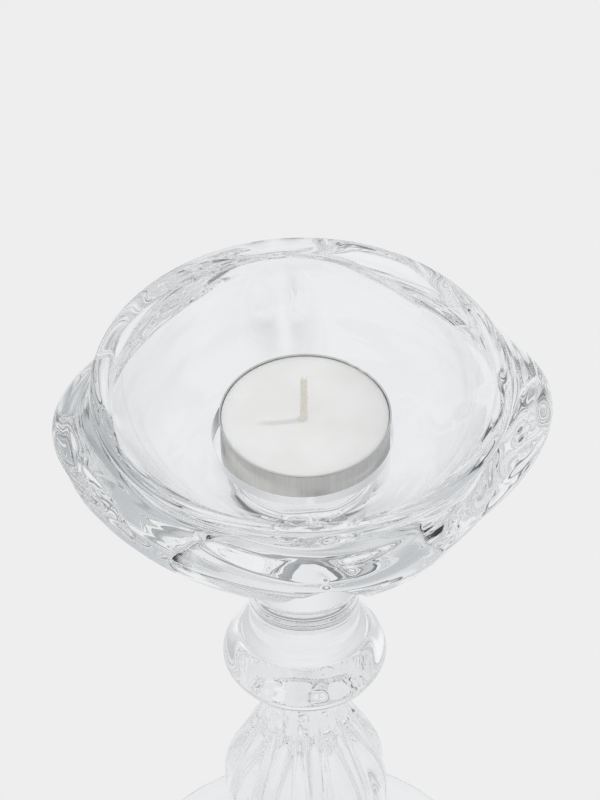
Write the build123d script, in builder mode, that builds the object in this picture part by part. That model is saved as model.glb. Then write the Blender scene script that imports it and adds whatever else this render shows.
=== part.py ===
from build123d import *
import math
import os

# ---------------------------------------------------------------------------
# Tealight candlestick in clear pressed crystal, with its tealight.
# Units mm.  Origin: centre of the underside of the foot, +Z up.
# The dish has a plain round rim.  Four pointed lugs stand out below the rim,
# with a full petal between each two of them and an arched hollow under each.
# ---------------------------------------------------------------------------

# overall heights above the table
H_TOTAL = 180.0            # top of the rim
Z_KNOP_TOP = 105.0         # where the neck of the bowl meets the knop
Z_KNOP_BOT = 83.0          # where the knop meets the fluted stem
Z_FOOT_TOP = 20.0          # where the stem meets the foot

# bowl
RIM_OUTER_R = 46.6
RIM_INNER_R = 42.0
RIM_CAP_H = 1.8            # height of the rounded top of the rim
RIM_STEP = 0.08            # the rounded top is this much narrower on each side
RECESS_R = 20.0            # round seat that takes a standard tealight
RECESS_TOP_D = 15.8        # depths below the top of the rim
RECESS_FLOOR_D = 22.2
RECESS_EDGE_R = 0.3        # the edge of the seat is crisp
NECK_R = 12.8

# radius of the outside at mid petal, against depth below the rim
PETAL_R = [(1.8, 46.6), (3.0, 45.9), (4.5, 45.5), (6.5, 46.1), (9.0, 47.3),
           (12.0, 48.1), (15.0, 48.5), (17.2, 48.2), (20.0, 47.0), (23.0, 44.8),
           (27.0, 41.2), (33.0, 31.6), (36.0, 25.2), (38.5, 19.4), (40.5, 15.8),
           (42.5, 14.2), (46.0, 13.2), (50.0, 12.8), (54.0, 12.6), (62.0, 12.5),
           (68.0, 12.55), (75.0, 12.75)]
# how far a side lug stands out from the petals
LUG_H = [(1.8, 0.0), (2.5, 1.0), (5.0, 3.6), (8.0, 6.05), (9.6, 7.0), (11.0, 7.35),
         (12.2, 6.9), (14.0, 5.6), (18.0, 2.9), (23.0, 1.2), (28.0, 0.0)]
LUG_HALF_ANGLE = [(1.8, 21.5), (8.75, 31.0), (16.0, 39.5)]
# the front and back lugs are smaller than those at the sides, the front one most
LUG_MID_SHARE = 0.755
LUG_BACK_EXTRA = 0.10
# arched hollow below each lug, deep at the front and back, shallow at the sides
ARCH_DEPTH = [(11.5, 0.0), (13.0, 2.4), (15.0, 4.8), (18.0, 7.2), (21.0, 8.3),
              (26.0, 8.0), (31.0, 6.2), (37.0, 3.0), (42.0, 1.0), (47.0, 0.0)]
ARCH_HALF_ANGLE = [(11.5, 3.0), (14.0, 6.0), (18.0, 9.5), (22.0, 12.0),
                   (27.0, 15.5), (38.0, 24.0), (47.0, 32.0)]
ARCH_SIDE_SHARE = 0.22
ARCH_SHIFT = 5.0           # the arch sits a little anticlockwise of its lug
# the petals lean slightly to one side, as pressed glass does when it is turned
PETAL_LEAN = [(2.0, 0.0), (6.0, 2.0), (10.0, 1.4), (14.0, 0.85), (22.0, 0.9),
              (30.0, 0.4), (36.0, 0.0)]
LUG_TURN = 10.0            # degrees that a lug's root is turned at the rim
# hand finishing leaves the lower part of the bowl a little lopsided
OFF_X = [(7.0, 0.0), (14.0, 0.2), (18.0, -1.3), (24.0, -1.6), (36.0, 0.0)]
OFF_Y = [(7.0, 0.0), (14.0, 0.6), (18.0, 1.4), (24.0, 0.3), (36.0, 0.0)]

# inside of the dish: radius against depth
DISH_INSIDE = [(42.0, 1.8), (41.65, 3.2), (40.2, 6.2), (36.8, 10.4),
               (31.3, 13.9), (25.5, 15.4), (21.4, 15.8)]

# knop: radius against height above its bottom
KNOP = [(9.0, 0.0), (10.1, 1.3), (12.2, 3.1), (15.0, 5.4), (17.2, 7.2),
        (18.5, 9.0), (18.75, 10.8), (17.3, 13.8), (15.6, 16.6), (14.2, 19.2),
        (13.4, 21.0), (12.75, 22.0)]

# fluted stem: radius over the ribs, and depth of the valleys, against height
STEM = [(20.0, 14.0, 0.0), (23.0, 14.4, 0.9), (28.0, 15.7, 2.0),
        (34.0, 17.4, 2.6), (40.0, 18.8, 2.9), (46.0, 19.5, 3.0),
        (50.0, 19.4, 3.0), (54.0, 18.7, 2.8), (58.0, 17.3, 2.6),
        (62.0, 15.4, 2.2), (66.0, 13.4, 1.7), (70.0, 11.4, 1.2),
        (74.0, 9.8, 0.7), (78.0, 8.9, 0.25), (83.0, 9.0, 0.0)]
RIBS = 10
VALLEY_AZ = 5.0            # azimuth of one valley, degrees
VALLEY_SOFT = 0.012        # softens the bottom of the valleys

# foot: radius against height, outside then underside
FOOT_R = 43.8
FOOT_TOP = [(14.0, 20.0), (15.2, 17.6), (18.4, 14.8), (23.5, 11.6),
            (29.6, 8.4), (35.8, 6.2), (40.8, 5.2)]
GROUND_OUTER_R = 42.3
GROUND_INNER_R = 38.0
FOOT_HOLLOW = 2.4

# tealight
TEALIGHT_X = 0.65          # it stands a little off the middle of its seat
CUP_R = 18.75
CUP_RIM_R = 19.05
CUP_H = 11.7
CUP_WALL = 0.3
WAX_R = 18.1
WAX_TOP_DROP = 0.55        # the edge of the wax is this far below the cup's rim
WICK_D = 1.5
WICK_OUT = 10.6            # length of wick above the wax
WICK_LEAN = 15.0           # degrees, away from the front
SUSTAINER_R = 6.5
SUSTAINER_T = 0.3
SUSTAINER_NECK_R = 1.15
SUSTAINER_NECK_H = 3.0

os.makedirs("parts", exist_ok=True)


def table(rows, x):
    """Straight-line reading of a table of (x, y) rows, held flat at its ends."""
    if x <= rows[0][0]:
        return rows[0][1]
    for (x0, y0), (x1, y1) in zip(rows, rows[1:]):
        if x <= x1:
            return y0 + (y1 - y0) * (x - x0) / (x1 - x0)
    return rows[-1][1]


def smooth(t):
    t = min(max(t, 0.0), 1.0)
    return t * t * (3.0 - 2.0 * t)


def wrap(angle, period):
    """Angle folded into -period/2 .. period/2."""
    return (angle + period / 2.0) % period - period / 2.0


def bowl_radius(angle, d):
    """Outside radius of the bowl at an angle (degrees) and depth below the rim."""
    turn = LUG_TURN * (1.0 - smooth(d / 10.0))
    q = wrap(angle - turn, 90.0)
    a = math.radians(angle)
    side = 0.5 + 0.5 * math.cos(2.0 * a)
    front = 0.5 - 0.5 * math.cos(2.0 * (a - math.radians(ARCH_SHIFT)))
    size = side + (1.0 - side) * (LUG_MID_SHARE + LUG_BACK_EXTRA * math.sin(a))
    half = table(LUG_HALF_ANGLE, d)
    lug = table(LUG_H, d) * size * max(0.0, 1.0 - (q / half) ** 2) ** 1.3
    qa = math.sqrt(wrap(angle - ARCH_SHIFT, 90.0) ** 2 + 0.6)
    s = max(0.0, 1.0 - qa / table(ARCH_HALF_ANGLE, d))
    depth = table(ARCH_DEPTH, d) * (ARCH_SIDE_SHARE + (1.0 - ARCH_SIDE_SHARE) * front)
    arch = depth * s * s * (3.0 - 2.0 * s) if d > 11.5 else 0.0
    lean = table(PETAL_LEAN, d) * math.sin(math.radians(4.0 * q))
    off = table(OFF_X, d) * math.cos(a) + table(OFF_Y, d) * math.sin(a)
    return table(PETAL_R, d) + lug - arch + lean + off


# ---- bowl with its short neck ----------------------------------------------
SECTION_D = [1.8, 3.5, 6.0, 8.5, 11.0, 14.0, 17.5, 21.0, 25.0, 29.0, 33.0,
             37.0, 40.5, 44.0, 48.0, 52.0, 57.0, 62.5, 68.5, 75.0]
SECTION_N = 96

with BuildPart() as bowl:
    for d in SECTION_D:
        with BuildSketch(Plane.XY.offset(H_TOTAL - d)):
            with BuildLine():
                Spline(*[(bowl_radius(a, d) * math.cos(math.radians(a)),
                          bowl_radius(a, d) * math.sin(math.radians(a)))
                         for a in [360.0 * i / SECTION_N for i in range(SECTION_N)]],
                       periodic=True)
            make_face()
    loft()
    # inside of the dish and the seat for the tealight
    with BuildSketch(Plane.XZ):
        with BuildLine():
            inner = Spline(*[(r, H_TOTAL - d) for r, d in DISH_INSIDE],
                           tangents=((0, -1), (-1, 0)))
            flat = Line(inner @ 1, (RECESS_R + RECESS_EDGE_R, H_TOTAL - RECESS_TOP_D))
            edge = RadiusArc(flat @ 1, (RECESS_R, H_TOTAL - RECESS_TOP_D - RECESS_EDGE_R),
                             -RECESS_EDGE_R)
            Polyline(edge @ 1,
                     (RECESS_R, H_TOTAL - RECESS_FLOOR_D), (0, H_TOTAL - RECESS_FLOOR_D),
                     (0, H_TOTAL + 5.0), (RIM_INNER_R, H_TOTAL + 5.0), inner @ 0)
        make_face()
    revolve(axis=Axis.Z, mode=Mode.SUBTRACT)
    # rounded top of the rim, let into the wall
    with BuildSketch(Plane.XZ):
        with BuildLine():
            mid = (RIM_OUTER_R + RIM_INNER_R) / 2.0
            half = (RIM_OUTER_R - RIM_INNER_R) / 2.0 - RIM_STEP
            cap = Spline(*[(mid + half * math.cos(t),
                            H_TOTAL - RIM_CAP_H + RIM_CAP_H * math.sin(t))
                           for t in [math.pi * i / 10.0 for i in range(11)]],
                         tangents=((0, 1), (0, -1)))
            Polyline(cap @ 1, (mid - 1.4, H_TOTAL - RIM_CAP_H - 0.5),
                     (mid + 1.2, H_TOTAL - RIM_CAP_H - 0.5), cap @ 0)
        make_face()
    revolve(axis=Axis.Z)
bowl.part.label = "bowl"
export_step(bowl.part, "parts/bowl.step")

# ---- flattened knop ----------------------------------------------------------
with BuildPart() as knop:
    with BuildSketch(Plane.XZ):
        with BuildLine():
            side = Spline(*[(r, Z_KNOP_BOT + h) for r, h in KNOP])
            Polyline(side @ 1, (0, Z_KNOP_TOP), (0, Z_KNOP_BOT), side @ 0)
        make_face()
    revolve(axis=Axis.Z)
knop.part.label = "knop"
export_step(knop.part, "parts/knop.step")

# ---- fluted stem -------------------------------------------------------------
STEM_N = 120
with BuildPart() as fluted_stem:
    for z, r, v in STEM:
        with BuildSketch(Plane.XY.offset(z)):
            with BuildLine():
                pts = []
                for i in range(STEM_N):
                    a = 360.0 * i / STEM_N
                    t = wrap(a - VALLEY_AZ, 360.0 / RIBS) / (180.0 / RIBS)
                    rr = r - v * max(0.0, 1.0 - math.sqrt(t * t + VALLEY_SOFT)) ** 2
                    pts.append((rr * math.cos(math.radians(a)), rr * math.sin(math.radians(a))))
                Spline(*pts, periodic=True)
            make_face()
    loft()
fluted_stem.part.label = "fluted_stem"
export_step(fluted_stem.part, "parts/fluted_stem.step")

# ---- foot ----------------------------------------------------------------------
with BuildPart() as foot:
    with BuildSketch(Plane.XZ):
        with BuildLine():
            top = Spline(*FOOT_TOP)
            edge = Spline(top @ 1, (FOOT_R - 0.7, 4.3), (FOOT_R, 2.6), (FOOT_R - 0.5, 0.9),
                          (GROUND_OUTER_R, 0.0))
            ring = Line(edge @ 1, (GROUND_INNER_R, 0.0))
            under = Spline(ring @ 1, (30.0, 1.3), (16.0, 2.2), (0.0, FOOT_HOLLOW),
                           tangents=((-1, 0.12), (-1, 0)))
            Polyline(under @ 1, (0.0, Z_FOOT_TOP), top @ 0)
        make_face()
    revolve(axis=Axis.Z)
foot.part.label = "foot"
export_step(foot.part, "parts/foot.step")

# ---- tealight: pressed aluminium cup ---------------------------------------------
CUP_Z = H_TOTAL - RECESS_FLOOR_D
CUP_TOP = CUP_Z + CUP_H
WAX_Z = CUP_Z + CUP_WALL
WAX_TOP = CUP_TOP - WAX_TOP_DROP
TL = Plane.XZ.offset(0).shift_origin((TEALIGHT_X, 0, 0))
TL_AXIS = Axis((TEALIGHT_X, 0, 0), (0, 0, 1))

with BuildPart() as tealight_cup:
    with BuildSketch(TL):
        with BuildLine():
            Polyline((0, CUP_Z), (CUP_R - 0.8, CUP_Z), (CUP_R, CUP_Z + 0.8),
                     (CUP_R, CUP_TOP - 0.75), (CUP_RIM_R, CUP_TOP - 0.5),
                     (CUP_RIM_R, CUP_TOP - 0.15), (CUP_RIM_R - 0.15, CUP_TOP),
                     (CUP_R - CUP_WALL + 0.1, CUP_TOP),
                     (CUP_R - CUP_WALL, CUP_TOP - 0.1),
                     (CUP_R - CUP_WALL, CUP_Z + 0.9), (CUP_R - 0.9, CUP_Z + CUP_WALL),
                     (0, CUP_Z + CUP_WALL), close=True)
        make_face()
    revolve(axis=TL_AXIS)
tealight_cup.part.label = "tealight_cup"
export_step(tealight_cup.part, "parts/tealight_cup.step")

# ---- wick sustainer: thin disc with a crimped neck ----------------------------------
with BuildPart() as wick_sustainer:
    with BuildSketch(TL):
        with BuildLine():
            Polyline((WICK_D / 2, WAX_Z), (SUSTAINER_R, WAX_Z),
                     (SUSTAINER_R, WAX_Z + SUSTAINER_T),
                     (SUSTAINER_NECK_R, WAX_Z + SUSTAINER_T),
                     (SUSTAINER_NECK_R, WAX_Z + SUSTAINER_T + SUSTAINER_NECK_H),
                     (WICK_D / 2, WAX_Z + SUSTAINER_T + SUSTAINER_NECK_H), close=True)
        make_face()
    revolve(axis=TL_AXIS)
wick_sustainer.part.label = "wick_sustainer"
export_step(wick_sustainer.part, "parts/wick_sustainer.step")

# ---- wick: upright in the wax, leaning back above it ---------------------------------
lean = math.radians(WICK_LEAN)
BEND = 2.4
with BuildPart() as wick:
    with BuildLine() as wick_path:
        up = Line((TEALIGHT_X, 0, WAX_Z), (TEALIGHT_X, 0, WAX_TOP))
        arc = TangentArc(up @ 1, (TEALIGHT_X, BEND * (1 - math.cos(lean)) / math.sin(lean),
                                  WAX_TOP + BEND), tangent=up % 1)
        Line(arc @ 1, arc @ 1 + (arc % 1) * (WICK_OUT - BEND))
    with BuildSketch(Plane.XY.offset(WAX_Z).shift_origin((TEALIGHT_X, 0, WAX_Z))):
        Circle(WICK_D / 2)
    sweep()
wick.part.label = "wick"
export_step(wick.part, "parts/wick.step")

# ---- wax, cast round the sustainer and the wick -----------------------------------------
with BuildPart() as wax:
    with BuildSketch(TL):
        with BuildLine():
            Polyline((WICK_D / 2, WAX_Z + SUSTAINER_T + SUSTAINER_NECK_H),
                     (SUSTAINER_NECK_R, WAX_Z + SUSTAINER_T + SUSTAINER_NECK_H),
                     (SUSTAINER_NECK_R, WAX_Z + SUSTAINER_T),
                     (SUSTAINER_R, WAX_Z + SUSTAINER_T), (SUSTAINER_R, WAX_Z),
                     (WAX_R - 0.9, WAX_Z), (WAX_R, WAX_Z + 0.9), (WAX_R, WAX_TOP - 0.3),
                     (WAX_R - 0.3, WAX_TOP), (WICK_D / 2, WAX_TOP), close=True)
        make_face()
    revolve(axis=TL_AXIS)
wax.part.label = "wax"
export_step(wax.part, "parts/wax.step")
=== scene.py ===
import bpy, math
import numpy as np
from mathutils import Vector, Matrix, Quaternion


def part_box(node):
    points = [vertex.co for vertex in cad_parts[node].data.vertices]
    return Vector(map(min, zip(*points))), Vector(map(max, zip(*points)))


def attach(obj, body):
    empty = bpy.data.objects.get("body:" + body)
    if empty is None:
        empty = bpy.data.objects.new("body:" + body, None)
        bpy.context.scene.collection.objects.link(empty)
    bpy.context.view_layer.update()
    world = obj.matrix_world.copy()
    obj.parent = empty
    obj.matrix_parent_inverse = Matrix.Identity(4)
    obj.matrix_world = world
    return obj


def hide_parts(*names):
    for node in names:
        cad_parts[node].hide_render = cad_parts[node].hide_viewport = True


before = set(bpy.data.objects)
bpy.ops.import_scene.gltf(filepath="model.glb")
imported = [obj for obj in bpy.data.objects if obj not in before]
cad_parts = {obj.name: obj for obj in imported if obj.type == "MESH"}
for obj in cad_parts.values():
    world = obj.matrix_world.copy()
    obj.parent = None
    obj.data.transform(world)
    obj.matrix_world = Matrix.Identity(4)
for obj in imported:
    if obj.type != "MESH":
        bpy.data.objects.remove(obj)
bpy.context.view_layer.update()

sc = bpy.context.scene
MM = 0.001

# ---------------------------------------------------------------------------
# Levels read from the CAD model, in mm
# ---------------------------------------------------------------------------
bowl_lo, bowl_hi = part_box("bowl")
cup_lo, cup_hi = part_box("tealight_cup")
wax_lo, wax_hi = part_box("wax")
wick_lo, wick_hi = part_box("wick")
sus_lo, sus_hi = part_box("wick_sustainer")
knop_lo, knop_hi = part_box("knop")
stem_lo, stem_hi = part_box("fluted_stem")
foot_lo, foot_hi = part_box("foot")
H = bowl_hi.z / MM                       # top of the rim
SEAT = cup_lo.z / MM                     # floor of the tealight's seat
CUP_X = (cup_lo.x + cup_hi.x) / 2 / MM
CUP_Y = (cup_lo.y + cup_hi.y) / 2 / MM
CUP_TOP = cup_hi.z / MM
CUP_R = (cup_hi.x - cup_lo.x) / 2 / MM   # over the rolled rim
WAX_TOP = wax_hi.z / MM
WAX_BOT = wax_lo.z / MM
WAX_R = (wax_hi.x - wax_lo.x) / 2 / MM
WICK_TOP = wick_hi.z / MM
Z_KT, Z_KB = knop_hi.z / MM, knop_lo.z / MM
Z_ST, Z_SB = stem_hi.z / MM, stem_lo.z / MM


# ---------------------------------------------------------------------------
# Small numeric helpers
# ---------------------------------------------------------------------------
class Curve:
    """Monotone cubic through a table of (x, y), flat beyond its ends."""

    def __init__(self, rows):
        r = np.array(rows, float)
        self.x, self.y = r[:, 0], r[:, 1]
        h = np.diff(self.x)
        d = np.diff(self.y) / h
        m = np.zeros(len(self.x))
        for i in range(1, len(self.x) - 1):
            if d[i - 1] * d[i] > 0:
                w1, w2 = 2 * h[i] + h[i - 1], h[i] + 2 * h[i - 1]
                m[i] = (w1 + w2) / (w1 / d[i - 1] + w2 / d[i])
        m[0], m[-1] = d[0], d[-1]
        self.m, self.h = m, h

    def __call__(self, x):
        x = np.clip(np.asarray(x, float), self.x[0], self.x[-1])
        i = np.clip(np.searchsorted(self.x, x, side="right") - 1, 0, len(self.h) - 1)
        t = (x - self.x[i]) / self.h[i]
        h = self.h[i]
        return ((2 * t**3 - 3 * t**2 + 1) * self.y[i] + (t**3 - 2 * t**2 + t) * h * self.m[i]
                + (-2 * t**3 + 3 * t**2) * self.y[i + 1] + (t**3 - t**2) * h * self.m[i + 1])


def spline_points(pts, n):
    """n points along a natural cubic spline through pts, evenly spaced by length."""
    p = np.array(pts, float)
    k = len(p)
    u = np.concatenate([[0], np.cumsum(np.linalg.norm(np.diff(p, axis=0), axis=1) ** 0.5)])
    h = np.diff(u)
    A = np.zeros((k, k)); B = np.zeros((k, 2))
    A[0, 0] = A[-1, -1] = 1
    for i in range(1, k - 1):
        A[i, i - 1], A[i, i], A[i, i + 1] = h[i - 1], 2 * (h[i - 1] + h[i]), h[i]
        B[i] = 6 * ((p[i + 1] - p[i]) / h[i] - (p[i] - p[i - 1]) / h[i - 1])
    M = np.linalg.solve(A, B)
    t = np.linspace(0, u[-1], 1200)
    i = np.clip(np.searchsorted(u, t, side="right") - 1, 0, k - 2)
    a, b = (u[i + 1] - t)[:, None], (t - u[i])[:, None]
    hh = h[i][:, None]
    q = (M[i] * a**3 + M[i + 1] * b**3) / (6 * hh) + (p[i] / hh - M[i] * hh / 6) * a \
        + (p[i + 1] / hh - M[i + 1] * hh / 6) * b
    s = np.concatenate([[0], np.cumsum(np.linalg.norm(np.diff(q, axis=0), axis=1))])
    w = np.linspace(0, s[-1], n)
    return np.stack([np.interp(w, s, q[:, 0]), np.interp(w, s, q[:, 1])], 1)


def smooth(t):
    t = np.clip(t, 0, 1)
    return t * t * (3 - 2 * t)


def wrap(a, period):
    return (a + period / 2) % period - period / 2


def grid_mesh(name, rings, closed_ends=(True, True), body="holder"):
    """A closed surface from rings of points, shape (rings, around, 3) in mm.
    An end that is closed gets one vertex at its centre."""
    n, m = rings.shape[:2]
    verts = rings.reshape(-1, 3).tolist()
    faces = []
    for i in range(n - 1):
        a, b = i * m, (i + 1) * m
        for j in range(m):
            k = (j + 1) % m
            faces.append((a + j, a + k, b + k, b + j))
    if closed_ends[0]:
        c = len(verts)
        verts.append(rings[0].mean(0).tolist())
        faces += [(c, (j + 1) % m, j) for j in range(m)]
    if closed_ends[1]:
        c = len(verts)
        verts.append(rings[-1].mean(0).tolist())
        o = (n - 1) * m
        faces += [(c, o + j, o + (j + 1) % m) for j in range(m)]
    me = bpy.data.meshes.new(name)
    me.from_pydata([(x * MM, y * MM, z * MM) for x, y, z in verts], [], faces)
    me.validate()
    me.update()
    me.polygons.foreach_set("use_smooth", [True] * len(me.polygons))
    o = bpy.data.objects.new(name, me)
    sc.collection.objects.link(o)
    import bmesh
    bm = bmesh.new(); bm.from_mesh(me)
    bmesh.ops.recalc_face_normals(bm, faces=bm.faces)
    bm.to_mesh(me); bm.free()
    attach(o, body)
    return o


# ---------------------------------------------------------------------------
# Crystal: one fused body of glass
# ---------------------------------------------------------------------------
RIM_OUT, RIM_IN, CAP_H = 46.6, 42.0, 1.8
RECESS_R = 20.0

petal_r = Curve([(1.8, 46.6), (3.0, 45.9), (4.5, 45.5), (6.5, 46.1),
                 (9.0, 47.3), (12.0, 48.1), (15.0, 48.5), (17.2, 48.2),
                 (20.0, 47.0), (23.0, 44.8), (27.0, 41.2), (33.0, 31.6),
                 (36.0, 25.2), (38.5, 19.4), (40.5, 15.8), (42.5, 14.2), (46.0, 13.2), (50.0, 12.8),
                 (54.0, 12.6), (62.0, 12.5), (68.0, 12.55), (75.0, 12.7)])
lug_h = Curve([(1.8, 0.0), (2.5, 1.0), (5.0, 3.6), (8.0, 6.0), (9.6, 6.9), (11.0, 7.2), (12.2, 6.8),
               (14.0, 5.6), (18.0, 2.9), (23.0, 1.2), (28.0, 0.0)])
lug_w = Curve([(1.8, 21.5), (8.75, 31.0), (16.0, 39.5)])
# the arched hollow under each lug: deep at the front and back, shallow at the sides
arch_d = Curve([(11.5, 0.0), (13.0, 2.4), (15.0, 4.8), (18.0, 7.2), (21.0, 8.3), (26.0, 8.0),
                (31.0, 6.2), (37.0, 3.0), (42.0, 1.0), (47.0, 0.0)])
arch_w = Curve([(11.5, 3.0), (14.0, 6.0), (18.0, 9.5), (22.0, 12.0), (27.0, 15.5), (38.0, 24.0), (47.0, 32.0)])
lean_a = Curve([(2.0, 0.0), (6.0, 2.0), (10.0, 1.4), (14.0, 0.85), (22.0, 0.9),
                (30.0, 0.4), (36.0, 0.0)])
# hand finishing left the lower part of the bowl a little lopsided
off_x = Curve([(7.0, 0.0), (14.0, 0.2), (18.0, -1.3), (24.0, -1.6), (36.0, 0.0)])
off_y = Curve([(7.0, 0.0), (14.0, 0.6), (18.0, 1.4), (24.0, 0.3), (36.0, 0.0)])
ARCH_SHIFT, LUG_TURN = 5.0, 10.0
SIDE_ARCH = 0.22


def bowl_radius(a, d):
    """Outside radius, a in degrees (array), d one depth below the rim."""
    q = wrap(a - LUG_TURN * (1 - smooth(d / 10.0)), 90.0)
    side = 0.5 + 0.5 * np.cos(np.radians(2 * a))          # 1 at the side lugs, 0 at front and back
    front = 0.5 - 0.5 * np.cos(np.radians(2 * (a - ARCH_SHIFT)))
    size = side + (1 - side) * (0.755 + 0.10 * np.sin(np.radians(a)))     # smaller front and back lugs
    lug = lug_h(d) * size * np.maximum(0, 1 - (q / lug_w(d)) ** 2) ** 1.3
    s = np.maximum(0, 1 - np.sqrt(wrap(a - ARCH_SHIFT, 90.0) ** 2 + 0.6) / arch_w(d))
    arch = arch_d(d) * (SIDE_ARCH + (1 - SIDE_ARCH) * front) * s * s * (3 - 2 * s) if d > 11.5 else 0.0
    off = off_x(d) * np.cos(np.radians(a)) + off_y(d) * np.sin(np.radians(a)) if d > 7 else 0.0
    return petal_r(d) + lug - arch + lean_a(d) * np.sin(np.radians(4 * q)) + off


AROUND = 720
ang = np.degrees(np.arange(AROUND) * 2 * np.pi / AROUND)
rad = np.radians(ang)
ONE = np.ones(AROUND)


def ring(r, z):
    r = r * ONE
    return np.stack([r * np.cos(rad), r * np.sin(rad), z * ONE], 1)


rings = []
# seat floor and its rounded corner
GAP = 0.12                               # the cup's pressed bottom only touches at its edge
for r in (0.6, 2, 4, 7, 10, 13, 16, 18.2, RECESS_R - 0.8):
    rings.append(ring(r, SEAT - GAP))
for t in np.linspace(0.15, 1, 6):
    rings.append(ring(RECESS_R - 0.8 + 0.8 * math.sin(t * math.pi / 2), SEAT - GAP + 0.8 * (1 - math.cos(t * math.pi / 2))))
EDGE_D, EDGE_R = 15.8, 0.3               # the seat's edge is crisp
for z in np.linspace(SEAT + 1.2, H - EDGE_D - EDGE_R, 10):
    rings.append(ring(RECESS_R, z))
for t in np.linspace(0.15, 1, 6):
    rings.append(ring(RECESS_R + EDGE_R * (1 - math.cos(t * math.pi / 2)), H - EDGE_D - EDGE_R * (1 - math.sin(t * math.pi / 2))))
# the dish and the inner half of the rim
dish = spline_points([(20.6, H - 15.8), (22.2, H - 15.78), (25.5, H - 15.4), (31.3, H - 13.9),
                      (36.8, H - 10.4), (40.2, H - 6.2), (41.65, H - 3.2), (42.0, H - 1.8)], 120)
for r, z in dish:
    rings.append(ring(r, z))
mid, half = (RIM_OUT + RIM_IN) / 2, (RIM_OUT - RIM_IN) / 2
for t in np.linspace(math.pi, 0, 26)[1:]:
    rings.append(ring(mid + half * math.cos(t), H - CAP_H + CAP_H * math.sin(t)))
# outside of the bowl and the neck
for d in np.concatenate([np.linspace(2.0, 30, 220), np.linspace(30.4, 52, 56), np.linspace(52.6, H - Z_KT - 0.1, 30)]):
    rings.append(ring(bowl_radius(ang, d), H - d))
# knop
knop = spline_points([(12.75, Z_KT - 0.15), (13.35, Z_KT - 1.0), (14.15, Z_KT - 2.8), (15.55, Z_KB + 16.6),
                      (17.25, Z_KB + 13.8), (18.7, Z_KB + 10.8), (18.45, Z_KB + 9.0), (17.15, Z_KB + 7.2),
                      (14.95, Z_KB + 5.4), (12.2, Z_KB + 3.1), (10.1, Z_KB + 1.3), (9.3, Z_KB + 0.2)], 96)
for r, z in knop:
    rings.append(ring(r, z))
# fluted stem
stem_r = Curve([(20.0, 14.0), (23.0, 14.4), (28.0, 15.7), (34.0, 17.4), (40.0, 18.8), (46.0, 19.5),
                (50.0, 19.4), (54.0, 18.7), (58.0, 17.3), (62.0, 15.4), (66.0, 13.4), (70.0, 11.4),
                (74.0, 9.8), (78.0, 8.9), (83.0, 9.0)])
stem_v = Curve([(20.0, 0.0), (23.0, 0.9), (28.0, 2.0), (34.0, 2.6), (40.0, 2.9), (46.0, 3.0),
                (50.0, 3.0), (54.0, 2.8), (58.0, 2.6), (62.0, 2.2), (66.0, 1.7), (70.0, 1.2),
                (74.0, 0.7), (78.0, 0.25), (83.0, 0.0)])
RIBS, VALLEY_AZ = 10, 5.0
for z in np.linspace(Z_ST - 0.4, Z_SB + 0.3, 150):
    t = wrap(ang - VALLEY_AZ, 360.0 / RIBS) / (180.0 / RIBS)
    rings.append(ring(stem_r(z) - stem_v(z) * (1.0 - np.sqrt(t * t + 0.02)).clip(0) ** 2, z))
# foot
foot = spline_points([(14.0, Z_SB), (15.2, 17.6), (18.4, 14.8), (23.5, 11.6), (29.6, 8.4), (35.8, 6.2),
                      (40.8, 5.2), (43.1, 4.3), (43.75, 2.6), (43.3, 0.9), (42.5, 0.1)], 90)
for r, z in foot:
    rings.append(ring(r, z))
for r in (42.0, 41, 39.5, 38.3):
    rings.append(ring(r, 0.0))
under = spline_points([(38.0, 0.02), (34.0, 0.75), (30.0, 1.3), (16.0, 2.2), (0.8, 2.4)], 30)
for r, z in under:
    rings.append(ring(r, z))
rings = np.array(rings)
crystal = grid_mesh("crystal", rings)
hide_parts("bowl", "knop", "fluted_stem", "foot")


# ---------------------------------------------------------------------------
# Materials
# ---------------------------------------------------------------------------
def material(name):
    m = bpy.data.materials.new(name)
    m.use_nodes = True
    m.node_tree.nodes.clear()
    return m, m.node_tree.nodes, m.node_tree.links


def out_node(N, L, shader):
    o = N.new("ShaderNodeOutputMaterial")
    L.new(shader.outputs[0], o.inputs["Surface"])


def noise(N, L, coord, scale, detail=3.0, rough=0.5, dist=0.0):
    n = N.new("ShaderNodeTexNoise")
    n.inputs["Scale"].default_value = scale
    n.inputs["Detail"].default_value = detail
    n.inputs["Roughness"].default_value = rough
    n.inputs["Distortion"].default_value = dist
    L.new(coord, n.inputs["Vector"])
    return n


def ramp(N, L, fac, a, b, ca, cb):
    r = N.new("ShaderNodeMapRange")
    r.inputs["From Min"].default_value, r.inputs["From Max"].default_value = a, b
    r.inputs["To Min"].default_value, r.inputs["To Max"].default_value = ca, cb
    L.new(fac, r.inputs["Value"])
    return r.outputs["Result"]


def glass_material():
    m, N, L = material("clear_crystal")
    tc = N.new("ShaderNodeTexCoord")
    p = N.new("ShaderNodeBsdfPrincipled")
    p.inputs["Base Color"].default_value = (1, 1, 1, 1)
    p.inputs["Transmission Weight"].default_value = 1.0
    p.inputs["IOR"].default_value = 1.545
    n = noise(N, L, tc.outputs["Object"], 60.0, 2.0)
    L.new(ramp(N, L, n.outputs["Fac"], 0.45, 0.75, 0.0, 0.012), p.inputs["Roughness"])
    o = N.new("ShaderNodeOutputMaterial")
    L.new(p.outputs[0], o.inputs["Surface"])
    v = N.new("ShaderNodeVolumeAbsorption")          # the faint grey of thick glass
    v.inputs["Color"].default_value = (0.46, 0.50, 0.50, 1)
    v.inputs["Density"].default_value = 1.9
    L.new(v.outputs[0], o.inputs["Volume"])
    return m


crystal.data.materials.append(glass_material())

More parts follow.
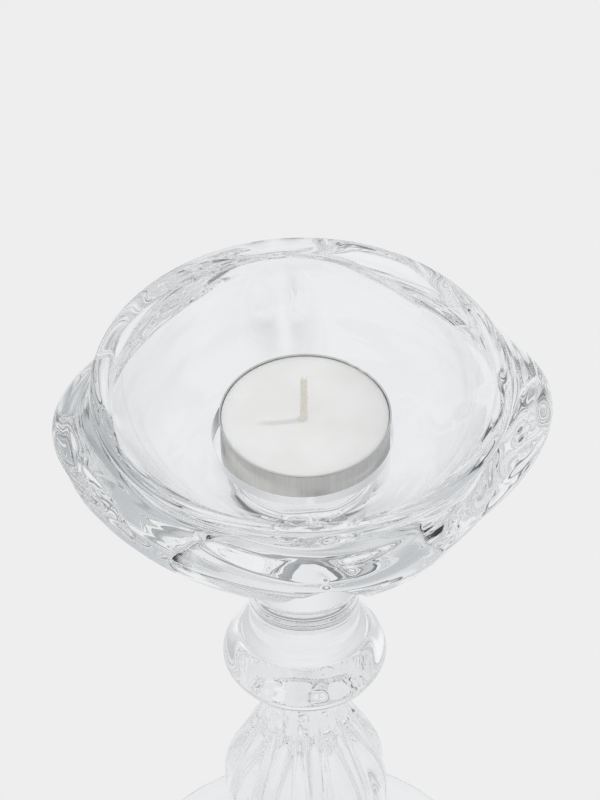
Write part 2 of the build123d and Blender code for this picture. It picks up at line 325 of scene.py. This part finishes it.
def foil_material():
    """Pressed aluminium: fine vertical draw lines on the side, soft mottling, painted shade under the rolled rim."""
    m, N, L = material("pressed_foil")
    tc = N.new("ShaderNodeTexCoord")
    p = N.new("ShaderNodeBsdfPrincipled")
    p.inputs["Metallic"].default_value = 1.0
    mp = N.new("ShaderNodeMapping")
    mp.inputs["Scale"].default_value = (1.0, 1.0, 0.03)
    L.new(tc.outputs["Object"], mp.inputs["Vector"])
    lines = noise(N, L, mp.outputs["Vector"], 1600.0, 3.0, 0.6)
    mott = noise(N, L, tc.outputs["Object"], 140.0, 3.0)
    cr = N.new("ShaderNodeValToRGB")
    cr.color_ramp.elements[0].position, cr.color_ramp.elements[1].position = 0.3, 0.75
    cr.color_ramp.elements[0].color = (0.60, 0.60, 0.575, 1)
    cr.color_ramp.elements[1].color = (0.76, 0.76, 0.74, 1)
    add = N.new("ShaderNodeMath"); add.operation = "MULTIPLY_ADD"
    L.new(mott.outputs["Fac"], add.inputs[0]); add.inputs[1].default_value = 0.5
    half_l = N.new("ShaderNodeMath"); half_l.operation = "MULTIPLY"; half_l.inputs[1].default_value = 0.5
    L.new(lines.outputs["Fac"], half_l.inputs[0]); L.new(half_l.outputs[0], add.inputs[2])
    L.new(add.outputs[0], cr.inputs["Fac"])
    # painted shade: a ragged dark line painted into the colour in the fold under the rolled rim, where the bead shades
    # the wall, strongest towards the front
    sp = N.new("ShaderNodeSeparateXYZ")
    L.new(tc.outputs["Object"], sp.inputs[0])
    rag = noise(N, L, tc.outputs["Object"], 1100.0, 4.0, 0.7)
    z0 = (CUP_TOP - 2 * 0.21 - 0.16) * MM

    def mathn(op, x, y, clamp=False):
        n_ = N.new("ShaderNodeMath"); n_.operation = op; n_.use_clamp = clamp
        for i_, v_ in enumerate((x, y)):
            if isinstance(v_, (int, float)):
                n_.inputs[i_].default_value = v_
            elif v_ is not None:
                L.new(v_, n_.inputs[i_])
        return n_.outputs[0]

    off = mathn("MULTIPLY", mathn("SUBTRACT", rag.outputs["Fac"], 0.5), 0.00035)
    dist = mathn("ABSOLUTE", mathn("SUBTRACT", mathn("ADD", sp.outputs["Z"], off), z0), None)
    line = ramp(N, L, dist, 0.00016, 0.00006, 0.0, 1.0)
    front = ramp(N, L, sp.outputs["Y"], -0.006, -0.0165, 0.12, 1.0)
    dark = mathn("MULTIPLY", line, front, True)
    rim_shade_mix = N.new("ShaderNodeMix"); rim_shade_mix.data_type = "RGBA"
    L.new(dark, rim_shade_mix.inputs["Factor"]); L.new(cr.outputs["Color"], rim_shade_mix.inputs["A"])
    rim_shade_mix.inputs["B"].default_value = (0.05, 0.05, 0.05, 1)
    L.new(rim_shade_mix.outputs["Result"], p.inputs["Base Color"])
    L.new(ramp(N, L, mott.outputs["Fac"], 0.35, 0.7, 0.30, 0.46), p.inputs["Roughness"])
    bp = N.new("ShaderNodeBump")
    bp.inputs["Strength"].default_value = 0.25
    bp.inputs["Distance"].default_value = 0.00003
    L.new(lines.outputs["Fac"], bp.inputs["Height"]); L.new(bp.outputs["Normal"], p.inputs["Normal"])
    out_node(N, L, p)
    return m


def wax_material():
    """Poured paraffin: milky, slightly see-through, faint cooling mottle."""
    m, N, L = material("paraffin_wax")
    tc = N.new("ShaderNodeTexCoord")
    p = N.new("ShaderNodeBsdfPrincipled")
    n1 = noise(N, L, tc.outputs["Object"], 90.0, 3.0)
    n2 = noise(N, L, tc.outputs["Object"], 900.0, 2.0)
    cr = N.new("ShaderNodeValToRGB")
    cr.color_ramp.elements[0].position, cr.color_ramp.elements[1].position = 0.3, 0.7
    cr.color_ramp.elements[0].color = (0.80, 0.795, 0.775, 1)
    cr.color_ramp.elements[1].color = (0.86, 0.86, 0.85, 1)
    L.new(n1.outputs["Fac"], cr.inputs["Fac"])
    sx = N.new("ShaderNodeSeparateXYZ")                  # painted shade: the wax colour greys towards its +X edge
    L.new(tc.outputs["Object"], sx.inputs[0])
    shade = N.new("ShaderNodeMix")
    shade.data_type = "RGBA"
    L.new(ramp(N, L, sx.outputs["X"], 0.004, 0.019, 0.0, 0.16), shade.inputs["Factor"])
    L.new(cr.outputs["Color"], shade.inputs["A"])
    shade.inputs["B"].default_value = (0.40, 0.40, 0.42, 1)
    L.new(shade.outputs["Result"], p.inputs["Base Color"])
    p.inputs["Subsurface Weight"].default_value = 0.35
    p.inputs["Subsurface Radius"].default_value = (1.0, 0.9, 0.75)
    p.inputs["Subsurface Scale"].default_value = 0.0022
    p.inputs["IOR"].default_value = 1.44
    L.new(ramp(N, L, n1.outputs["Fac"], 0.3, 0.7, 0.42, 0.55), p.inputs["Roughness"])
    bp = N.new("ShaderNodeBump")
    bp.inputs["Strength"].default_value = 0.15
    bp.inputs["Distance"].default_value = 0.00004
    L.new(n2.outputs["Fac"], bp.inputs["Height"]); L.new(bp.outputs["Normal"], p.inputs["Normal"])
    out_node(N, L, p)
    return m


def wick_material():
    """Plaited cotton dipped in wax: cream, with painted shade darker between the strands."""
    m, N, L = material("waxed_cotton")
    tc = N.new("ShaderNodeTexCoord")
    p = N.new("ShaderNodeBsdfPrincipled")
    wv = N.new("ShaderNodeTexWave")
    wv.wave_type, wv.bands_direction = "BANDS", "DIAGONAL"
    wv.inputs["Scale"].default_value = 900.0
    wv.inputs["Distortion"].default_value = 2.0
    wv.inputs["Detail"].default_value = 2.0
    L.new(tc.outputs["Object"], wv.inputs["Vector"])
    # painted shade: the strand bands set both colour and bump, so the colour darkens in the grooves between the strands
    cr = N.new("ShaderNodeValToRGB")
    cr.color_ramp.elements[0].color = (0.80, 0.76, 0.66, 1)
    cr.color_ramp.elements[1].color = (0.93, 0.91, 0.86, 1)
    L.new(wv.outputs["Fac"], cr.inputs["Fac"]); L.new(cr.outputs["Color"], p.inputs["Base Color"])
    L.new(ramp(N, L, wv.outputs["Fac"], 0.0, 1.0, 0.65, 0.5), p.inputs["Roughness"])
    p.inputs["Subsurface Weight"].default_value = 0.25
    p.inputs["Subsurface Radius"].default_value = (1.0, 0.85, 0.6)
    p.inputs["Subsurface Scale"].default_value = 0.0006
    bp = N.new("ShaderNodeBump")
    bp.inputs["Strength"].default_value = 0.4
    bp.inputs["Distance"].default_value = 0.00008
    L.new(wv.outputs["Fac"], bp.inputs["Height"]); L.new(bp.outputs["Normal"], p.inputs["Normal"])
    out_node(N, L, p)
    return m


def tin_material():
    m, N, L = material("tinned_steel")
    tc = N.new("ShaderNodeTexCoord")
    p = N.new("ShaderNodeBsdfPrincipled")
    p.inputs["Metallic"].default_value = 1.0
    n = noise(N, L, tc.outputs["Object"], 420.0, 3.0)
    cr = N.new("ShaderNodeValToRGB")
    cr.color_ramp.elements[0].position, cr.color_ramp.elements[1].position = 0.3, 0.7
    cr.color_ramp.elements[0].color = (0.50, 0.50, 0.50, 1)
    cr.color_ramp.elements[1].color = (0.68, 0.68, 0.67, 1)
    L.new(n.outputs["Fac"], cr.inputs["Fac"]); L.new(cr.outputs["Color"], p.inputs["Base Color"])
    L.new(ramp(N, L, n.outputs["Fac"], 0.3, 0.7, 0.22, 0.38), p.inputs["Roughness"])
    out_node(N, L, p)
    return m


# ---------------------------------------------------------------------------
# Tealight: cup, wax, wick and sustainer
# ---------------------------------------------------------------------------
T_AROUND = 288
ta = np.arange(T_AROUND) * 2 * np.pi / T_AROUND


def wobble(a, seed, n=6, top=9):
    """Smooth repeatable irregularity round a circle, about -1 to 1."""
    r = np.random.RandomState(seed)
    v = np.zeros_like(a)
    for k in range(n):
        f = r.randint(2, top)
        v += np.sin(f * a + r.uniform(0, 6.28)) * r.uniform(0.4, 1)
    return v / n * 1.6


def lathe(name, profile, body, shape=None, cx=CUP_X, cy=CUP_Y):
    rs = []
    for k, (r, z) in enumerate(profile):
        rr, zz = r * np.ones(T_AROUND), z * np.ones(T_AROUND)
        if shape:
            rr, zz = shape(k / (len(profile) - 1), rr, zz)
        rs.append(np.stack([cx + rr * np.cos(ta), cy + rr * np.sin(ta), zz], 1))
    return grid_mesh(name, np.array(rs), body=body)


BEAD = 0.21
WALL_R = CUP_R - 0.30                   # outside of the cup's side
IN_R = WALL_R - 0.16
prof = [(0.4, SEAT + 0.25), (6, SEAT + 0.25), (11, SEAT + 0.25), (11.6, SEAT + 0.05), (12.4, SEAT), (15, SEAT), (WALL_R - 1.0, SEAT)]
for t in np.linspace(0.15, 1, 7):
    prof.append((WALL_R - 1.0 + math.sin(t * math.pi / 2), SEAT + 1 - math.cos(t * math.pi / 2)))
for z in np.linspace(SEAT + 1.6, CUP_TOP - 2 * BEAD - 0.25, 22):
    prof.append((WALL_R, z))
for t in np.linspace(-0.9, 3.6, 22):     # rolled rim
    prof.append((WALL_R + 0.07 + BEAD * math.cos(t), CUP_TOP - BEAD + BEAD * math.sin(t)))
for z in np.linspace(CUP_TOP - 2 * BEAD - 0.3, SEAT + 1.3, 16):
    prof.append((IN_R, z))
for t in np.linspace(0.85, 0, 6):
    prof.append((IN_R - 0.85 + 0.85 * math.sin(t * math.pi / 2), SEAT + 0.2 + 0.85 * (1 - math.cos(t * math.pi / 2))))
prof += [(15, SEAT + 0.2), (12.4, SEAT + 0.2), (11.4, SEAT + 0.42), (6, SEAT + 0.42), (0.4, SEAT + 0.42)]
crimp = np.exp(-((np.degrees(ta) - 47) / 13) ** 2)
w_side, w_rim = wobble(ta, 3), wobble(ta, 5, 8, 14)
flute = np.sin(ta * 96 + 1.2 * wobble(ta, 8, 5, 20))


def cup_shape(s, r, z):
    u = smooth((z - SEAT - 1.5) / 9.0) if np.ndim(z) else 0
    near_rim = smooth((z - (CUP_TOP - 2.2)) / 2.0)
    side = (r > 17.0)
    dr = side * u * (0.035 * w_side + 0.010 * flute * (1 - near_rim))
    dr = dr + side * near_rim * (0.03 * w_rim - 0.10 * crimp * (1 + 0.7 * np.sin(ta * 41)))
    dz = side * near_rim * (0.05 * w_rim - 0.07 * np.maximum(0, w_rim) - 0.12 * crimp * (0.6 + 0.4 * np.sin(ta * 33 + 1)))
    return r + dr, z + np.minimum(dz, 0)


cup = lathe("tealight_foil_cup", prof, "tealight", cup_shape)
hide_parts("tealight_cup")
cup.data.materials.append(foil_material())

WAX_MID = CUP_TOP - 1.55                # the wax sinks as it cools
WAX_EDGE = CUP_TOP - 0.42
WR = IN_R - 0.07
prof = [(0.5, WAX_BOT + 0.35), (6, WAX_BOT + 0.35), (11, WAX_BOT + 0.35), (12.4, WAX_BOT + 0.15), (WR - 1.2, WAX_BOT + 0.15)]
for t in np.linspace(0.15, 1, 6):
    prof.append((WR - 1.2 + 1.2 * math.sin(t * math.pi / 2), WAX_BOT + 0.15 + 1.2 * (1 - math.cos(t * math.pi / 2))))
for z in np.linspace(WAX_BOT + 1.8, WAX_EDGE - 0.15, 10):
    prof.append((WR, z))
prof.append((WR - 0.04, WAX_EDGE - 0.03))


def wax_top(r):
    u = r / WR
    z = WAX_MID + (WAX_EDGE - WAX_MID) * (0.35 * u ** 2 + 0.40 * u ** 6 + 0.25 * u ** 24)
    return z + 0.30 * math.exp(-((r - 0.5) / 0.9) ** 2)


for r in np.concatenate([np.linspace(WR - 0.12, WR - 1.2, 8), np.linspace(WR - 1.6, 3, 30), np.linspace(2.7, 0.3, 14)]):
    prof.append((r, wax_top(r)))
w_wax = wobble(ta, 21, 7, 7)


def wax_shape(s, r, z):
    top = (z > WAX_MID - 0.1) & (r < WR - 0.3)
    return r, z + top * 0.035 * w_wax * np.sin(np.clip(r / WR, 0, 1) * math.pi)


wax = lathe("wax_puck", prof, "candle", wax_shape)
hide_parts("wax")
wax.data.materials.append(wax_material())

# wick: three plaited strands drawn as one lobed, slightly flattened cord that tapers to its cut tip
LEN = WICK_TOP - WAX_MID
BX, BY = CUP_X - 0.45, CUP_Y - 0.1
steps, wa = 90, 36
rings_w = []
for k in range(steps):
    t = k / (steps - 1)
    z = WAX_BOT + 1.0 + (WICK_TOP - 0.12 - WAX_BOT - 1.0) * t
    h = np.clip((z - WAX_MID) / LEN, 0, 1)
    x = BX + 0.42 * h + 0.10 * math.sin(h * 5.0)
    y = BY + 2.0 * h ** 1.4
    r0 = 0.76 - 0.18 * h ** 2
    a = np.arange(wa) * 2 * np.pi / wa
    lobes = 1 + 0.10 * np.abs(np.sin(1.5 * a + z * 2.3)) + 0.05 * np.sin(3 * a - z * 4.1)
    cap = 1.0 if t < 0.975 else math.sqrt(max(0.02, 1 - ((t - 0.975) / 0.025) ** 2))
    rr = r0 * lobes * cap
    rings_w.append(np.stack([x + rr * 1.08 * np.cos(a), y + rr * 0.9 * np.sin(a), np.full(wa, z)], 1))
wick = grid_mesh("plaited_wick", np.array(rings_w), body="candle")
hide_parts("wick")
wick.data.materials.append(wick_material())

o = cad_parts["wick_sustainer"]
o.data.materials.clear()
o.data.materials.append(tin_material())

# ---------------------------------------------------------------------------
# Floor, light and camera
# ---------------------------------------------------------------------------
def srgb(v):
    v = v / 255
    return v / 12.92 if v <= 0.04045 else ((v + 0.055) / 1.055) ** 2.4


BG = srgb(238)
me = bpy.data.meshes.new("floor")
me.from_pydata([(0.6 * math.cos(k * math.pi / 48), 0.6 * math.sin(k * math.pi / 48), 0) for k in range(96)],
               [], [tuple(range(96))])
floor = bpy.data.objects.new("floor", me)
sc.collection.objects.link(floor)
floor.location.z = -0.0002


def wmath(op, a, b=None, c=None, clamp=False):
    n = N.new("ShaderNodeMath")
    n.operation = op
    n.use_clamp = clamp
    for i, v in enumerate((a, b, c)):
        if v is None:
            continue
        if isinstance(v, (int, float)):
            n.inputs[i].default_value = v
        else:
            L.new(v, n.inputs[i])
    return n.outputs[0]


def band(values):
    """Brightness round the room, equal sectors, the first centred on +X, going anticlockwise."""
    r = N.new("ShaderNodeValToRGB")
    cr = r.color_ramp
    cr.interpolation = "EASE"
    n = len(values)
    stops = [(i / n, values[i % n]) for i in range(n + 1)]
    cr.elements[0].position = 0.0
    cr.elements[1].position = 1.0
    for i in range(n - 1):
        cr.elements.new(stops[i + 1][0])
    for e_, (p_, v_) in zip(cr.elements, stops):
        e_.position = p_
        e_.color = (v_ * (0.90 + 0.10 * v_), v_ * (0.96 + 0.04 * v_), v_ * (1.04 - 0.04 * v_), 1)   # cool darks
    L.new(azim, r.inputs["Fac"])
    return r.outputs["Color"]


def soft_step(value, lo, hi):
    n = N.new("ShaderNodeMapRange")
    n.interpolation_type = "SMOOTHSTEP"
    n.inputs["From Min"].default_value = lo
    n.inputs["From Max"].default_value = hi
    L.new(value, n.inputs["Value"])
    return n.outputs["Result"]


def step(lo_deg, hi_deg):
    return soft_step(elev, math.radians(lo_deg), math.radians(hi_deg))


def blend_in(fac, lower, upper):
    n = N.new("ShaderNodeMix")
    n.data_type = "RGBA"
    L.new(fac, n.inputs["Factor"])
    L.new(lower, n.inputs["A"])
    L.new(upper, n.inputs["B"])
    return n.outputs["Result"]


# pale table top that glows; the camera sees it even, while through the glass it shows painted shade in darker sectors
# of a ring around the candlestick
m, N, L = material("pale_floor")
tc = N.new("ShaderNodeTexCoord")
sep = N.new("ShaderNodeSeparateXYZ")
L.new(tc.outputs["Object"], sep.inputs[0])
azim = wmath("FRACT", wmath("DIVIDE", wmath("ARCTAN2", sep.outputs["Y"], sep.outputs["X"]), 2 * math.pi))
reach = wmath("SQRT", wmath("ADD", wmath("MULTIPLY", sep.outputs["X"], sep.outputs["X"]),
                            wmath("MULTIPLY", sep.outputs["Y"], sep.outputs["Y"])))
shade_ring_band = band([0.62, 0.862, 0.60, 0.80])
far = band([0.88, 0.86, 0.90, 0.80])
tone = blend_in(soft_step(reach, 0.07, 0.09), band([0.855, 0.855]), shade_ring_band)
tone = blend_in(soft_step(reach, 0.18, 0.22), tone, far)
em = N.new("ShaderNodeEmission")
L.new(tone, em.inputs["Color"])
em.inputs["Strength"].default_value = 1.0
flat = N.new("ShaderNodeEmission")
flat.inputs["Color"].default_value = (BG, BG, BG, 1)
flat.inputs["Strength"].default_value = 1.0
lp = N.new("ShaderNodeLightPath")
mx = N.new("ShaderNodeMixShader")
L.new(lp.outputs["Is Camera Ray"], mx.inputs[0])
L.new(em.outputs[0], mx.inputs[1])
L.new(flat.outputs[0], mx.inputs[2])
geo = N.new("ShaderNodeNewGeometry")                 # open from below, so the foot's underside shows
clear = N.new("ShaderNodeBsdfTransparent")
under_mix = N.new("ShaderNodeMixShader")
L.new(geo.outputs["Backfacing"], under_mix.inputs[0])
L.new(mx.outputs[0], under_mix.inputs[1])
L.new(clear.outputs[0], under_mix.inputs[2])
out_node(N, L, under_mix)
floor.data.materials.append(m)

w = bpy.data.worlds.new("studio")
sc.world = w
w.use_nodes = True
N, L = w.node_tree.nodes, w.node_tree.links
N.clear()


tc = N.new("ShaderNodeTexCoord")
sep = N.new("ShaderNodeSeparateXYZ")
L.new(tc.outputs["Generated"], sep.inputs[0])
azim = wmath("FRACT", wmath("DIVIDE", wmath("ARCTAN2", sep.outputs["Y"], sep.outputs["X"]), 2 * math.pi))
elev = wmath("ARCSINE", sep.outputs["Z"])            # radians


# soft boxes and dark flags round the table, from below the table's edge to overhead
below = band([0.51, 0.61, 0.17, 0.98, 0.90, 0.75])
low = band([0.59, 0.48, 0.12, 0.40, 0.69, 0.10, 0.38, 0.98, 0.98, 0.10, 0.87, 0.81])
mid_b = band([0.10, 0.58, 0.79, 0.45, 0.68, 0.70, 0.98, 0.98, 0.94, 0.98, 0.76, 0.98])
high = band([0.96, 0.61, 0.98, 0.89, 0.98, 0.98, 0.94, 0.98, 0.98, 0.73, 0.55, 0.76])
top = band([0.41, 0.94, 0.98, 0.68, 0.98, 0.98])
zen = band([0.98, 0.98])
col = blend_in(step(-3, 3), below, low)
col = blend_in(step(12, 18), col, mid_b)
col = blend_in(step(31, 39), col, high)
col = blend_in(step(56, 64), col, top)
col = blend_in(step(76, 84), col, zen)
room = N.new("ShaderNodeBackground")
L.new(col, room.inputs["Color"])
room.inputs["Strength"].default_value = 1.0
sweep = N.new("ShaderNodeBackground")                # the pale sweep behind the table
sweep.inputs["Color"].default_value = (BG, BG, BG, 1)
lp = N.new("ShaderNodeLightPath")
mx = N.new("ShaderNodeMixShader")
L.new(lp.outputs["Is Camera Ray"], mx.inputs[0])
L.new(room.outputs[0], mx.inputs[1])
L.new(sweep.outputs[0], mx.inputs[2])
wo = N.new("ShaderNodeOutputWorld")
L.new(mx.outputs[0], wo.inputs["Surface"])

key = bpy.data.lights.new("key", "AREA")
key.shape = "DISK"
key.size = 0.12
key.energy = 3.5
ko = bpy.data.objects.new("key", key)
sc.collection.objects.link(ko)
ko.visible_glossy = False
ko.visible_transmission = False
KEY_AZ, KEY_EL = math.radians(16.5), math.radians(48)
d = Vector((math.cos(KEY_EL) * math.cos(KEY_AZ), math.cos(KEY_EL) * math.sin(KEY_AZ), math.sin(KEY_EL)))
ko.location = Vector((0, 0, 0.17)) + d * 1.2
ko.rotation_mode = "QUATERNION"
ko.rotation_quaternion = (-d).to_track_quat("-Z", "Y")

# camera
ELEV, DIST, AZ, ROLL = 45.31, 1.2, -1.3, 0.62
F_PX = 5469.0
e, a = math.radians(ELEV), math.radians(AZ)
right = Vector((math.cos(a), math.sin(a), 0))
back = Vector((math.sin(a) * math.cos(e), -math.cos(a) * math.cos(e), math.sin(e)))
target = Vector((0, 0, (H - 5.99) * MM)) + right * (-0.44 * MM)
cam_data = bpy.data.cameras.new("camera")
cam = bpy.data.objects.new("camera", cam_data)
sc.collection.objects.link(cam)
cam.location = target + back * DIST
cam.rotation_mode = "QUATERNION"
cam.rotation_quaternion = (-back).to_track_quat("-Z", "Y") @ Quaternion((0, 0, 1), math.radians(-ROLL))
cam_data.sensor_width = 36.0
cam_data.lens = F_PX * 36.0 / 800.0
cam_data.clip_start, cam_data.clip_end = 0.05, 50
sc.camera = cam

sc.view_settings.view_transform = "Standard"
sc.view_settings.look = "None"
sc.cycles.max_bounces = 32
sc.cycles.transmission_bounces = 32
sc.cycles.glossy_bounces = 16
sc.cycles.diffuse_bounces = 4
